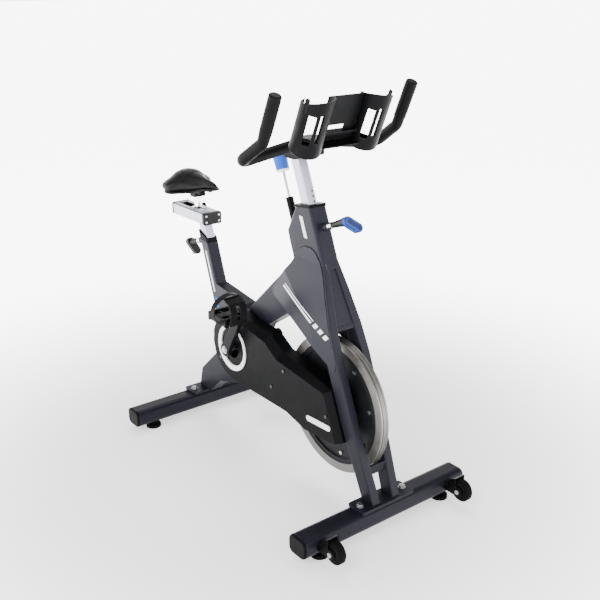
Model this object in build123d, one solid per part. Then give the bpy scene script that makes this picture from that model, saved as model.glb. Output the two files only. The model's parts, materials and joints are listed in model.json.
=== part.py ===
from build123d import *
import os
from math import atan, cos, degrees, pi, radians, sin, sqrt, tan

# Indoor spin bike. Millimetres, +X forward, +Y to the rider's left, +Z up, floor at Z = 0.
# The origin is on the floor, at the middle of the bike's length and width.

# ---- base ----
foot_front_x, foot_rear_x, foot_y = 465, -440, 228   # levelling feet
tube_front_x, tube_rear_x = 457, -447                # stabiliser centre lines
tube_w, tube_h, tube_bottom, tube_wall = 70, 56, 22, 2.5
base_half = 300                                      # half the stabiliser length, caps included
cap_t = 8
tube_top = tube_bottom + tube_h
flange_t = 8
flange_top = tube_top + flange_t
caster_x, caster_y, caster_z, caster_r, caster_w = 543, 238, 57, 33, 24

# ---- fork and head ----
rake = 0.402                                         # rearward lean of the fork per mm of height
fork_front_at_floor = 514
head_axis_at_floor = 474
head_depth, head_half = 75, 29
head_low, head_top = 700, 854
leg_depth = 50
leg_spread = [(flange_top, 51, 22), (271, 61, 32), (466, 63, 34), (549, 57, 29), (640, 42, 18),
              (716, 27, 8)]                          # height, outer and inner half-width

# ---- drive ----
bb_x, bb_z = -147, 355                               # bottom bracket
crank_len, crank_angle = 176, 58.9
wheel_x, wheel_z, wheel_r, wheel_half = 258, 298, 205, 13
disc_r, hub_r = 180, 36
axle_r, spindle_r, run = 10, 12.5, 0.05              # run: radial running clearance
pulley_big_r, pulley_small_r = 92, 25
belt_y0, belt_y1, belt_t = -41, -28, 4
guard_out, guard_mid, guard_in = -88, -62, -25

# ---- seat ----
seat_lean = 0.355
seat_axis_at_floor = -180                            # seat tube axis X at the floor
seat_tube_x, seat_tube_y, seat_tube_top, seat_tube_low = 50, 42, 652, 378
seat_post_x, seat_post_y = 36, 30
slider_x0, slider_x1, slider_half, slider_z0, slider_z1 = -578, -378, 33, 690, 728
saddle_post_x, saddle_post_r = -465, 12.5

# ---- handlebar ----
bar_r, grip_t = 15.5, 1
bar_tip, bar_elbow = (280, 225, 1188), (227, 226, 1068)
bar_corner, bar_mid = (131, 236, 1004), (126, 60, 1028)
post_x, post_y, post_top, post_low = 42, 32, 984, 735
tray_x, tray_z, tray_lean = 226, 1031, 23
cup_y, cup_r, cup_h, cup_wall = 97, 42, 132, 3

# ---- resistance brake ----
rod_x_top, rod_z_top, rod_slope, rod_r = -5, 964, 0.402, 4

os.makedirs("parts", exist_ok=True)
made = []


def save(name, *shapes):
    """Write one node; several shapes make a group of separate solids."""
    solids = [s for shape in shapes for s in shape.solids()]
    body = solids[0] if len(solids) == 1 else Compound(children=solids)
    body.label = name
    export_step(body, f"parts/{name}.step")
    made.append(name)


def slab(x0, x1, y0, y1, z0, z1):
    return Pos((x0 + x1) / 2, (y0 + y1) / 2, (z0 + z1) / 2) * Box(x1 - x0, y1 - y0, z1 - z0)


def side_plate(points, y0, y1):
    """A side outline, given as (x, z) points, made solid from y0 to y1."""
    face = make_face(Polyline(*points, close=True))
    return extrude(Plane.XZ.offset(-y1) * face, amount=y1 - y0)


def front_block(points, x0, x1):
    """A front outline, given as (y, z) points, made solid from x0 to x1."""
    face = make_face(Polyline(*points, close=True))
    return extrude(Plane.YZ.offset(x0) * face, amount=x1 - x0)


def cyl_y(x, z, r, y0, y1):
    return Pos(x, (y0 + y1) / 2, z) * Rot(90, 0, 0) * Cylinder(r, y1 - y0)


def rod(p, q, r, r2=None):
    """A straight round bar from p to q; r2 gives a cone."""
    p, q = Vector(*p), Vector(*q)
    along = Plane(origin=p, z_dir=(q - p).normalized())
    low = (Align.CENTER, Align.CENTER, Align.MIN)
    length = (q - p).length
    return along * (Cone(r, r2, length, align=low) if r2 else Cylinder(r, length, align=low))


def mirror_y(shape):
    return mirror(shape, about=Plane.XZ)


def both(shape):
    return [shape, mirror_y(shape)]


def rounded(shape, axis, r):
    return fillet(shape.edges().filter_by(axis), r)


def lean_plane(x_at_floor, slope, z):
    """Plane across a leaning tube: its normal runs up the tube."""
    a = atan(slope)
    return Plane(origin=(x_at_floor - slope * z, 0, z), x_dir=(cos(a), 0, sin(a)),
                 z_dir=(-sin(a), 0, cos(a)))


def fork_front(z, back=0):
    return fork_front_at_floor - rake * z - back


def hex_head(x, y, z, r, h):
    """A bolt head standing on a horizontal face."""
    return Pos(x, y, z) * extrude(RegularPolygon(r, 6), amount=h)


# ================= base =================
def stabiliser(x):
    half = base_half - cap_t
    outer = rounded(slab(x - tube_w / 2, x + tube_w / 2, -half, half, tube_bottom, tube_top), Axis.Y, 18)
    bore = rounded(slab(x - tube_w / 2 + tube_wall, x + tube_w / 2 - tube_wall, -half, half,
                        tube_bottom + tube_wall, tube_top - tube_wall), Axis.Y, 15.5)
    return outer - bore


def end_cap(x):
    face = slab(x - tube_w / 2, x + tube_w / 2, -base_half, -base_half + cap_t, tube_bottom, tube_top)
    face = rounded(face, Axis.Y, 18)
    face = fillet(face.faces().sort_by(Axis.Y)[0].edges(), 5)
    inset = tube_wall + 0.2
    plug = slab(x - tube_w / 2 + inset, x + tube_w / 2 - inset, -base_half + cap_t, -base_half + cap_t + 18,
                tube_bottom + inset, tube_top - inset)
    return face + rounded(plug, Axis.Y, 15)


tube_x = {"front": tube_front_x, "rear": tube_rear_x}
foot_x = {"front": foot_front_x, "rear": foot_rear_x}
stem_r = 6
for end in ("front", "rear"):
    stem_hole = Pos(foot_x[end], foot_y, tube_bottom) * Cylinder(stem_r + run, 20)
    save(f"{end}_stabiliser", stabiliser(tube_x[end]) - stem_hole - mirror_y(stem_hole))
save("stabiliser_caps", *[c for x in tube_x.values() for c in both(end_cap(x))])

# Levelling feet: rubber-soled disc, lock nut and threaded stem.
for end in ("front", "rear"):
    for side, s in (("right", -1), ("left", 1)):
        x, y = foot_x[end], s * foot_y
        pad = Pos(x, y, 6) * Cylinder(25, 12)
        pad = fillet(pad.edges().filter_by(GeomType.CIRCLE).sort_by(Axis.Z)[-1], 4)
        nut = hex_head(x, y, 12, 11, 6)
        stem = Pos(x, y, 35) * Cylinder(stem_r, 34)
        save(f"foot_{end}_{side}", pad + nut + stem)


def flange(x0, x1, half):
    plate = slab(x0, x1, -half, half, tube_top, flange_top)
    return rounded(plate, Axis.Z, 8)


bolt_front, bolt_rear = (tube_front_x, 79), (tube_rear_x, 57)
front_flange = flange(424, 490, 97)
rear_flange = flange(-480, -414, 76)
bolt_heads = []
for (bx, by) in (bolt_front, bolt_rear):
    for y in (-by, by):
        washer = Pos(bx, y, flange_top + 1) * Cylinder(11, 2)
        head = hex_head(bx, y, flange_top + 2, 9, 6)
        bolt_heads.append(washer + fillet(head.edges().group_by(Axis.Z)[-1], 1))
save("base_flanges", front_flange, rear_flange)

# Transport casters: a hooked bracket under the front tube, a wheel on a bolt.
wheel_gap = caster_w / 2 + 2
brackets, caster_bolts = [], []
for s in (-1, 1):
    y = s * caster_y
    hood = cyl_y(caster_x, caster_z, caster_r + 7, y - wheel_gap - 5, y + wheel_gap + 5)
    hood = hood & slab(caster_x - 60, caster_x - 10, y - 30, y + 30, caster_z - 12, caster_z + 60)
    arm = slab(tube_front_x + tube_w / 2, caster_x - 12, y - wheel_gap - 5, y + wheel_gap + 5, 42, 62)
    cheek = cyl_y(caster_x, caster_z, 13, y - wheel_gap - 5, y + wheel_gap + 5)
    well = cyl_y(caster_x, caster_z, caster_r + 4, y - wheel_gap, y + wheel_gap)
    tube = slab(0, tube_front_x + tube_w / 2, -base_half, base_half, 0, 100)
    hole = cyl_y(caster_x, caster_z, 5 + run, y - 40, y + 40)
    brackets.append(hood + arm + cheek - well - tube - hole)
    pin = cyl_y(caster_x, caster_z, 5, y - wheel_gap - 5, y + wheel_gap + 5)
    caps = [cyl_y(caster_x, caster_z, 7, *r) for r in
            ((y - wheel_gap - 9, y - wheel_gap - 5), (y + wheel_gap + 5, y + wheel_gap + 9))]
    caster_bolts.append(pin + caps[0] + caps[1])
    side = "right" if s < 0 else "left"
    tyre = cyl_y(caster_x, caster_z, caster_r, y - caster_w / 2, y + caster_w / 2)
    tyre = fillet(tyre.edges(), 7)
    core = cyl_y(caster_x, caster_z, 21, y - caster_w / 2 - 1, y + caster_w / 2 + 1)
    bore = cyl_y(caster_x, caster_z, 5 + run, y - 20, y + 20)
    save(f"caster_wheel_{side}", tyre + core - bore)
save("caster_brackets", *brackets)

# ================= fork, head and panels =================
leg_cuts = [Plane.XY.offset(z) * (Pos(fork_front(z, leg_depth / 2), -(outer + inner) / 2)
                                  * RectangleRounded(leg_depth, outer - inner, 5))
            for z, outer, inner in leg_spread]
fork_leg = loft(leg_cuts, ruled=True)

# Side panel outline: arched top under the head, front edge parallel to the fork, long brace tail.
panel_back = 9
arch = [(94, 694), (104, 718), (122, 737), (146, 748), (172, 749), (194, 739), (210, 720)]
panel_outline = arch + [(fork_front(690, panel_back), 690), (fork_front(446, panel_back), 446),
                        (fork_front(436, panel_back + 12), 436), (116, 519), (-6, 563), (-14, 576)]
panel_by_height = [(31, 760), (31, 712), (58, 549), (64.5, 430)]
panel_by_length = [(-60, 27), (0, 31), (120, 48), (230, 62), (400, 68)]
panel_sheet = 9


def panel_solid(outline, grow, reach):
    """Everything inboard of the panel face, grow outwards, reaching in to reach."""
    in_front = [(-y - grow, z) for y, z in panel_by_height] + [(-reach, 430), (-reach, 760)]
    in_plan = [(x, -y - grow) for x, y in panel_by_length] + [(400, -reach), (-60, -reach)]
    plan_face = make_face(Polyline(*in_plan, close=True))
    return side_plate(outline, -90, 0) & front_block(in_front, -200, 500) & extrude(plan_face, amount=900)


side_panel = panel_solid(panel_outline, 0, 0) - panel_solid(panel_outline, -panel_sheet, 0)
side_panel = side_panel.solids().sort_by(SortBy.VOLUME)[-1]
groove = 1.5
grown = [(x + (groove if x > 150 else 0), z + (groove if z > 500 else 0)) for x, z in panel_outline]
panel_zone = panel_solid(grown, 4, 0) - panel_solid(panel_outline, -panel_sheet - 0.5, 0)

# Channels that stay open inside the frame for the handlebar post and the brake rod.
head_plane = lean_plane(head_axis_at_floor, rake, 700)
channel = head_plane * Box(post_x + 3, post_y + 3, 700)
post_guide = head_plane * (Pos(0, 0, 160) * Box(post_x + 2 * run, post_y + 2 * run, 120))


def on_rod(z):
    return (rod_x_top + rod_slope * (rod_z_top - z), 0, z)


rod_channel = rod(on_rod(860), on_rod(440), rod_r + 0.8)

head_points = [(90, head_low - 6), (fork_front(head_low), head_low), (fork_front(head_top + 6), head_top + 6),
               (fork_front(head_top - 4, head_depth), head_top - 4), (75, 806), (60, 776), (70, 745)]
head = side_plate(head_points, -head_half, head_half)
head = fillet(head.edges().filter_by(lambda e: abs(e.tangent_at(0.5).Z) > 0.8), 10)
head_body = head - channel - rod_channel - panel_zone - mirror_y(panel_zone)

leg_body = fork_leg - panel_zone - side_panel - head - channel
cover = side_plate([(fork_front(546, 6), 546), (fork_front(715, 6), 715), (fork_front(715, 15), 715),
                    (fork_front(546, 15), 546)], -40, 40)
lip = side_plate([(fork_front(538, 4), 538), (fork_front(548, 4), 548), (fork_front(548, 40), 548),
                  (fork_front(538, 40), 538)], -40, 40)
between = front_block([(-40, 500), (-36, 549), (-22, 640), (-12, 716), (12, 716), (22, 640), (36, 549),
                       (40, 500)], 0, 600)
cover = ((cover + lip) & between) - fork_leg - mirror_y(fork_leg) - head - channel
bridge = slab(432, 440, -34, 34, 157, 183) - fork_leg - mirror_y(fork_leg)

leg_right = leg_body.solids().sort_by(SortBy.VOLUME)[-1]
save("fork_cover", cover, bridge)
save("side_panel_right", side_panel)
save("side_panel_left", mirror_y(side_panel))

# Axle plates carry the flywheel axle behind the fork legs.
axle_plate = (side_plate([(wheel_x, wheel_z + 26), (fork_front(380, leg_depth), 380),
                          (fork_front(230, leg_depth), 230), (wheel_x, wheel_z - 26)], -52, -44)
              + cyl_y(wheel_x, wheel_z, 26, -52, -44)) - fork_leg
axle_hole = cyl_y(wheel_x, wheel_z, axle_r, -80, 80)
leg_right = leg_right + (axle_plate - axle_hole)
save("fork_leg_right", leg_right)
save("fork_leg_left", mirror_y(leg_right))

# Brace from the head down to the bottom bracket, beam to the seat tube, rear leg.
seat_plane = lean_plane(seat_axis_at_floor, seat_lean, 500)
seat_slope = atan(seat_lean)


def seat_x(z, forward=0):
    return seat_axis_at_floor - seat_lean * z + forward


seat_block = side_plate([(seat_x(seat_tube_top + 10, -25), seat_tube_top + 10),
                         (seat_x(seat_tube_top - 12, 25), seat_tube_top - 12),
                         (seat_x(seat_tube_low, 25), seat_tube_low),
                         (seat_x(seat_tube_low, -25), seat_tube_low)], -seat_tube_y / 2, seat_tube_y / 2)
seat_block = fillet(seat_block.edges().filter_by(lambda e: abs(e.tangent_at(0.5).Z) > 0.8), 8)

brace_line = [(92, 692), (-108, 506), (-190, 420), (-150, 340), (-100, 372), (-61, 438), (7, 484), (120, 560),
              (150, 640), (146, 692)]
brace = side_plate(brace_line, -26, 26) & front_block(
    [(-21, 300), (-21, 430), (-26, 470), (-26, 700), (26, 700), (26, 470), (21, 430), (21, 300)], -300, 300)
for other in (side_panel, mirror_y(side_panel), leg_body, mirror_y(leg_body), head,
              channel, rod_channel, cover):
    brace = brace - other
brace = brace.solids().sort_by(SortBy.VOLUME)[-1]

shell = cyl_y(bb_x, bb_z, 30, -24, 24)
bearing_seat = cyl_y(bb_x, bb_z, 22, -24, 24)
beam = side_plate([(seat_x(500, 20), 500), (-170, 478), (-120, 440), (-150, 360), (-190, 340),
                   (seat_x(400, 20), 400)], -21, 21)
beam = beam - shell - seat_block - brace
rear_leg = side_plate([(seat_x(seat_tube_low, -25), seat_tube_low),
                       (seat_x(seat_tube_low, 25), seat_tube_low),
                       (-190, 338), (-150, 320), (-138, 210), (-330, 150), (-398, flange_top),
                       (-466, flange_top), (-448, 157), (-330, 268)], -20, 20)
rear_leg = rounded(rear_leg, Axis.Y, 3) - shell - seat_block - beam
brace = brace - shell
save("brace_tube", brace)
save("rear_leg", rear_leg.solids().sort_by(SortBy.VOLUME)[-1])
save("main_beam", beam + (shell - bearing_seat))
bearing = cyl_y(bb_x, bb_z, 22, 10, 24) - cyl_y(bb_x, bb_z, spindle_r + run, 10, 24)
save("crank_bearings", *both(bearing))

# Seat tube, hollow for the seat post, with a black collar.
seat_bore = seat_plane * (Pos(0, 0, 130) * Box(seat_post_x + 4, seat_post_y + 4, 460))
seat_guide = seat_plane * (Pos(0, 0, 130) * Box(seat_post_x + 2 * run, seat_post_y + 2 * run, 420))
seat_stop = slab(-500, 0, -60, 60, 0, seat_tube_low + 14)
collar_cut = side_plate([(-600, 640 + 14), (-300, 640 - 22), (-300, 900), (-600, 900)], -60, 60)
seat_tube = (seat_block - (seat_bore - seat_stop)) - collar_cut
seat_collar = (seat_block & collar_cut) - seat_guide


# Head collar: a black cap around the handlebar post.
collar_points = [(fork_front(head_top + 6, -2), head_top + 6), (fork_front(head_top + 13, -1), head_top + 13),
                 (fork_front(head_top + 3, head_depth + 1), head_top + 3),
                 (fork_front(head_top - 4, head_depth + 2), head_top - 4)]
collar = side_plate(collar_points, -head_half - 1, head_half + 1)
collar = fillet(collar.edges().filter_by(lambda e: abs(e.tangent_at(0.5).Z) > 0.6), 6)
head_collar = collar - post_guide - head


# ================= guard, belt, cranks =================
def guard_outline(grow):
    """Side outline of the guard; grow lifts its upper edge."""
    points = []
    for i in range(11):
        a = radians(58 + i * (270 - 58) / 10)
        r = 110 + grow * (0.5 if i < 6 else 0)
        points.append((bb_x + r * cos(a), bb_z + r * sin(a)))
    points += [(131, 246), (219, 225), (327, 231), (406, 243)]
    points += [(399 - 0.4 * grow, 356 + grow * 0.4), (244, 377 + grow * 0.6), (84, 395 + grow),
               (22, 432 + grow)]
    return points


guard_wall = 3


def inset_points(points, d):
    """An anticlockwise outline moved inwards by d."""
    moved = []
    for i, (x, z) in enumerate(points):
        x0, z0 = points[i - 1]
        x1, z1 = points[(i + 1) % len(points)]
        a, b = sqrt((x - x0) ** 2 + (z - z0) ** 2), sqrt((x1 - x) ** 2 + (z1 - z) ** 2)
        n0, n1 = ((z0 - z) / a, (x - x0) / a), ((z - z1) / b, (x1 - x) / b)
        k = d / (1 + n0[0] * n1[0] + n0[1] * n1[1])
        moved.append((x + k * (n0[0] + n1[0]), z + k * (n0[1] + n1[1])))
    return moved


def outline_face(grow, inset, y):
    return Plane.XZ.offset(-y) * make_face(Polyline(*inset_points(guard_outline(grow), inset), close=True))


def guard_body(inset):
    bevel = loft([outline_face(0, inset, guard_out + inset), outline_face(20, inset, guard_mid)], ruled=True)
    rim = extrude(outline_face(20, inset, guard_in + (1 if inset else 0)),
                  amount=guard_in + (1 if inset else 0) - guard_mid)
    return bevel + rim


guard_full = guard_body(0)
guard_room = guard_body(guard_wall)


def nose_cut(inset):
    """Everything in front of the guard's nose, which is chamfered back to the fork leg."""
    leg_rear_at_floor = fork_front(0, leg_depth)
    end, corner = -1.5 - inset, -66 + inset
    plan = [(-14 - inset, -120), (-14 - inset, guard_out + inset), (end, corner), (end, 0),
            (300, 0), (300, -120)]
    face = make_face(Polyline(*[(leg_rear_at_floor + x, y) for x, y in plan], close=True))
    return extrude(face, amount=600, dir=(-rake, 0, 1))


guard_cover = (guard_full - nose_cut(0)) - (guard_room - nose_cut(guard_wall))
crank_hole = cyl_y(bb_x, bb_z, 34, -120, -60)
guard_outer = guard_cover - crank_hole
for other in (side_panel, brace, beam, leg_right):
    guard_outer = guard_outer - other
guard_outer = guard_outer.solids().sort_by(SortBy.VOLUME)[-1]
inner_face = outline_face(20, guard_wall + 0.3, guard_in)
guard_inner = extrude(inner_face, amount=2.5)
wheel_side = cyl_y(wheel_x, wheel_z, 60, -70, 0)
guard_inner = guard_inner - cyl_y(bb_x, bb_z, 31, -60, 0) - nose_cut(guard_wall + 0.3) - wheel_side
guard_inner = guard_inner - side_panel - brace - beam
save("guard_outer", guard_outer)
save("guard_inner", guard_inner.solids().sort_by(SortBy.VOLUME)[-1])

ring_back = cyl_y(bb_x, bb_z, 75, guard_out - 4, guard_out)
ring_hole = cyl_y(bb_x + 4, bb_z + 5, 62, guard_out - 4, guard_out)
badge = Plane.XZ.offset(-guard_out) * (Pos(283, 272) * Rot(0, 0, 3) * SlotOverall(106, 17))
save("guard_trim", ring_back - ring_hole, extrude(badge, amount=2))
screw_at = [(316, 306), (60, 300), (-215, 300), (120, 372)]
screws = [cyl_y(x, z, 5, guard_out - 2.5, guard_out) for x, z in screw_at]
save("fixed_bolts", *bolt_heads, *caster_bolts, *screws)


def belt_loop(grow):
    """Band around both pulleys, grow outside their rims."""
    big = Pos(bb_x, bb_z) * Circle(pulley_big_r + grow)
    small = Pos(wheel_x, wheel_z) * Circle(pulley_small_r + grow)
    dx, dz = wheel_x - bb_x, wheel_z - bb_z
    d = sqrt(dx * dx + dz * dz)
    swing = atan((pulley_big_r - pulley_small_r) / d)
    base = atan(dz / dx)
    corners = []
    for s in (1, -1):
        a = base + s * (pi / 2 - swing)
        up, on = (cos(a), sin(a)), (pulley_big_r + grow, pulley_small_r + grow)
        pair = [(bb_x + on[0] * up[0], bb_z + on[0] * up[1]),
                (wheel_x + on[1] * up[0], wheel_z + on[1] * up[1])]
        corners += pair if s > 0 else pair[::-1]
    web = make_face(Polyline(*corners, close=True))
    return Plane.XZ.offset(-belt_y1) * (big + small + web)


belt_w = belt_y1 - belt_y0
band = extrude(belt_loop(belt_t), amount=belt_w) - extrude(belt_loop(0.05), amount=belt_w)
save("drive_belt", band)


crank_pulley = cyl_y(bb_x, bb_z, pulley_big_r, belt_y0, belt_y1) - cyl_y(bb_x, bb_z, 30, belt_y0, belt_y1)
for i in range(5):
    a = radians(72 * i + 20)
    crank_pulley -= cyl_y(bb_x + 60 * cos(a), bb_z + 60 * sin(a), 15, belt_y0, belt_y1)
crank_boss = cyl_y(bb_x, bb_z, 30, belt_y0, belt_y1) - cyl_y(bb_x, bb_z, spindle_r, belt_y0, belt_y1)
arm_span = {-1: (-118, -103), 1: (80, 95)}           # the left arm is closer in: no guard on that side
spindle = cyl_y(bb_x, bb_z, spindle_r, arm_span[-1][0], arm_span[1][1])
for ys in ((arm_span[-1][0] - 4, arm_span[-1][0]), (arm_span[1][1], arm_span[1][1] + 4)):
    spindle += cyl_y(bb_x, bb_z, 9, *ys)
save("crank_spindle", spindle + crank_pulley + crank_boss)



def crank_arm(side):
    """side -1 is the rider's right arm, +1 the left, half a turn apart."""
    a = radians(crank_angle) if side < 0 else radians(crank_angle + 180)
    tip = (bb_x + crank_len * cos(a), bb_z + crank_len * sin(a))
    ys = arm_span[side]
    n = (-sin(a), cos(a))
    outline = [(bb_x + 17 * n[0], bb_z + 17 * n[1]), (tip[0] + 12 * n[0], tip[1] + 12 * n[1]),
               (tip[0] - 12 * n[0], tip[1] - 12 * n[1]), (bb_x - 17 * n[0], bb_z - 17 * n[1])]
    body = side_plate(outline, *ys) + cyl_y(bb_x, bb_z, 21, *ys) + cyl_y(*tip, 15, *ys)
    spindle_eye = cyl_y(bb_x, bb_z, spindle_r, -130, 130)
    pedal_eye = cyl_y(*tip, 7 + run, -130, 130)
    return body - spindle_eye - pedal_eye, tip


tips = {}
for name, side in (("right", -1), ("left", 1)):
    arm, tips[name] = crank_arm(side)
    save(f"crank_arm_{name}", arm)


# ================= flywheel =================
rim = cyl_y(wheel_x, wheel_z, wheel_r, -wheel_half, wheel_half)
for y in (-7, 0, 7):
    rim -= (cyl_y(wheel_x, wheel_z, wheel_r + 1, y - 0.8, y + 0.8)
            - cyl_y(wheel_x, wheel_z, wheel_r - 1.2, y - 0.8, y + 0.8))
save("flywheel_rim", rim - cyl_y(wheel_x, wheel_z, disc_r, -20, 20))
disc = cyl_y(wheel_x, wheel_z, disc_r, -11, 11)
for ys in ((-12, -6), (6, 12)):
    disc -= cyl_y(wheel_x, wheel_z, disc_r - 14, *ys) - cyl_y(wheel_x, wheel_z, 62, *ys)
save("flywheel_disc", disc - cyl_y(wheel_x, wheel_z, hub_r, -20, 20))
hub = (cyl_y(wheel_x, wheel_z, hub_r, -13, 13) + cyl_y(wheel_x, wheel_z, 22, -27.5, 42)
       + cyl_y(wheel_x, wheel_z, pulley_small_r, belt_y0, belt_y1 + 0.5))
save("flywheel_hub", hub - cyl_y(wheel_x, wheel_z, axle_r + run, -50, 50))
wheel_bolts = []
for i in range(8):
    a = radians(45 * i + 12)
    for ys in ((-9.5, -6), (6, 9.5)):
        wheel_bolts.append(cyl_y(wheel_x + 150 * cos(a), wheel_z + 150 * sin(a), 6, *ys))
save("flywheel_bolts", *wheel_bolts)
nut = extrude(Plane.XZ.offset(52) * (Pos(wheel_x, wheel_z) * RegularPolygon(15, 6)), amount=8)
save("flywheel_axle", cyl_y(wheel_x, wheel_z, axle_r, -57, 57) + nut + mirror_y(nut))


# ================= pedals =================
def pedal(side):
    """Platform pedal with a moulded toe cage in front and a strap over the top."""
    x, z = tips["right" if side < 0 else "left"]
    arm_in, arm_out = sorted(abs(y) for y in arm_span[side])
    y0, y1 = 124, 200
    core = slab(x - 14, x + 14, y0, y1, z - 11, z + 11)
    plates = [slab(x + a, x + b, y0, y1, z - 13, z + 13) for a, b in ((-46, -38), (38, 46))]
    ribs = [slab(x - 46, x + 46, y, y + 7, z - 10, z + 10) for y in (y0, y0 + 40, y1 - 7)]
    body = core + plates[0] + plates[1] + ribs[0] + ribs[1] + ribs[2]
    pin = cyl_y(x, z, 7, arm_in, y0 + 10) + cyl_y(x, z, 11, arm_out + 0.5, y0 + 1)
    cage_line = [(46, -12), (50, -12), (66, 12), (68, 38), (54, 60), (28, 72), (27, 68), (51, 57),
                 (64, 37), (62, 13), (48, -5), (46, -5)]
    cage = side_plate([(x + a, z + b) for a, b in cage_line], y0 + 12, y1 - 8)
    slot = slab(x + 40, x + 80, y0 + 34, y1 - 30, z + 8, z + 52)
    cage = cage - slot - body
    mid = (y0 + y1) / 2
    loop = [(y0 + 1, 14), (y0 + 2, 44), (y0 + 20, 73), (mid, 79), (y1 - 4, 72), (y1 + 22, 50),
            (y1 + 26, 22), (y1 + 3, -2)]
    path = Plane.YZ.offset(x + 22) * Spline(*[(p[0], z + p[1]) for p in loop])
    start = Plane(origin=path @ 0, x_dir=(1, 0, 0), z_dir=path % 0)
    strap = sweep(start * Rectangle(20, 1.8), path=path)
    strap = (strap - body).solids().sort_by(SortBy.VOLUME)[-1]
    cage = cage + strap
    if side > 0:                                     # the free pedal hangs with its cage below it
        cage = cage.rotate(Axis((x, 0, z), (0, 1, 0)), 180)
    shapes = [body + pin, cage]
    return shapes if side > 0 else [mirror_y(s) for s in shapes]


for name, side in (("right", -1), ("left", 1)):
    platform, cage = pedal(side)
    save(f"pedal_{name}", platform)
    save(f"toe_cage_{name}", cage)

# ================= seat =================
seat_foot, seat_head = -76, 210  # the foot clears the bore floor at the lowest height
seat_post = seat_plane * (Pos(0, 0, (seat_foot + seat_head) / 2)
                          * Box(seat_post_x, seat_post_y, seat_head - seat_foot))
seat_post = fillet(seat_post.edges().filter_by(lambda e: abs(e.tangent_at(0.5).Z) > 0.8), 4)
beam_room = slab(slider_x0 - 50, slider_x1 + 50, -60, 60, slider_z0, 900)
seat_post = seat_post - beam_room
hole_at = [seat_plane * (Pos(0, 0, d) * Rot(0, 90, 0) * Cylinder(4, 80)) for d in (-40, -10)]
for h in hole_at:
    seat_post -= h
save("seat_post", seat_post)

wall = 3
beam_tube = slab(slider_x0 + 6, slider_x1 - 10, -slider_half, slider_half, slider_z0, slider_z1)
beam_tube = rounded(beam_tube, Axis.X, 5)
beam_bore = rounded(slab(slider_x0, slider_x1, -slider_half + wall, slider_half - wall, slider_z0 + wall,
                         slider_z1 - wall), Axis.X, 2)
beam_slot = slab(slider_x0 + 18, slider_x1 - 50, -14, 14, slider_z1 - 6, slider_z1 + 5)
knob_x = saddle_post_x - 55                          # clamp knob, screwed through the beam's left wall
knob_hole = cyl_y(knob_x, 712, 6 + run, 20, slider_half + 5)
save("slider_beam", beam_tube - beam_bore - beam_slot - knob_hole)
caps = []
for x0, x1, outer in ((slider_x0, slider_x0 + 6, 0), (slider_x1 - 10, slider_x1, 1)):
    cap = slab(x0, x1, -slider_half - 1, slider_half + 1, slider_z0 - 1, slider_z1 + 1)
    caps.append(rounded(cap, Axis.X, 6))
screws = []
for y in (-24, 24):
    for z in (slider_z0 + 9, slider_z1 - 9):
        screws.append(rod((slider_x1, y, z), (slider_x1 + 1.5, y, z), 3.5))
save("slider_caps", *caps, *screws)

carriage = slab(saddle_post_x - 32, saddle_post_x + 32, -29.5, 29.5, slider_z0 + 3.5, slider_z1 - 3.3)
carriage = rounded(carriage, Axis.X, 3)
neck = slab(saddle_post_x - 20, saddle_post_x + 20, -13.9, 13.9, slider_z1 - 4, slider_z1 + 1.5)
weld = rod((saddle_post_x, 0, slider_z1 + 1), (saddle_post_x, 0, slider_z1 + 5),
           saddle_post_r + 3.5, saddle_post_r)
stub = rod((saddle_post_x, 0, slider_z1 - 10), (saddle_post_x, 0, 772), saddle_post_r)
save("slider_carriage", carriage + neck + weld + stub)
grip = cyl_y(knob_x, 712, 13, slider_half + 8, slider_half + 28)
save("slider_knob", cyl_y(knob_x, 712, 6, slider_half - 2.6, slider_half + 8) + fillet(grip.edges(), 3))

clamp = rounded(slab(saddle_post_x - 16, saddle_post_x + 16, -20, 20, 767, 781), Axis.Y, 4)
clamp_bore = rod((saddle_post_x, 0, 740), (saddle_post_x, 0, 772.3), saddle_post_r + run)
rail = [rod((saddle_post_x - 62, s * 20, 770), (saddle_post_x + 46, s * 20, 790), 3.5) for s in (-1, 1)]
stands = [slab(saddle_post_x + x - 6, saddle_post_x + x + 6, s * 20 - 5, s * 20 + 5, z, 805)
          for x, z in ((-62, 766), (46, 786)) for s in (-1, 1)]
saddle_shift, saddle_lift = -12, 5                   # from the saddle's own points to its place on the rails
saddle_half = [(-563, 52), (-548, 78), (-522, 87), (-492, 79), (-462, 55), (-430, 38), (-390, 27), (-350, 20),
               (-332, 10)]


def saddle_plan(share):
    mid = -450
    pts = [(mid + (x - mid) * (0.5 + share / 2) + saddle_shift, y * share) for x, y in saddle_half]
    return make_face(Spline(*pts, *[(x, -y) for x, y in pts[::-1]], periodic=True))


under_line = [(x + saddle_shift, z + saddle_lift) for x, z in
              ((-620, 777), (-500, 776), (-440, 785), (-385, 801), (-330, 809), (-300, 812))]
cushion_top = [(-570, 814, 60), (-548, 834, 84), (-515, 845, 92), (-480, 844, 84), (-450, 838, 62),
               (-420, 832, 44), (-385, 832, 32), (-355, 831, 25), (-326, 820, 18)]
below = side_plate(under_line + [(-300, 700), (-640, 700)], -120, 120)


def saddle_crown(width, height):
    """Rounded top of the cushion, as a share of its full width and height."""
    return loft([Plane.YZ.offset(x + saddle_shift)
                 * (Pos(0, 785 + saddle_lift) * Ellipse(half * width, (top - 785) * height))
                 for x, top, half in cushion_top])


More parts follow.
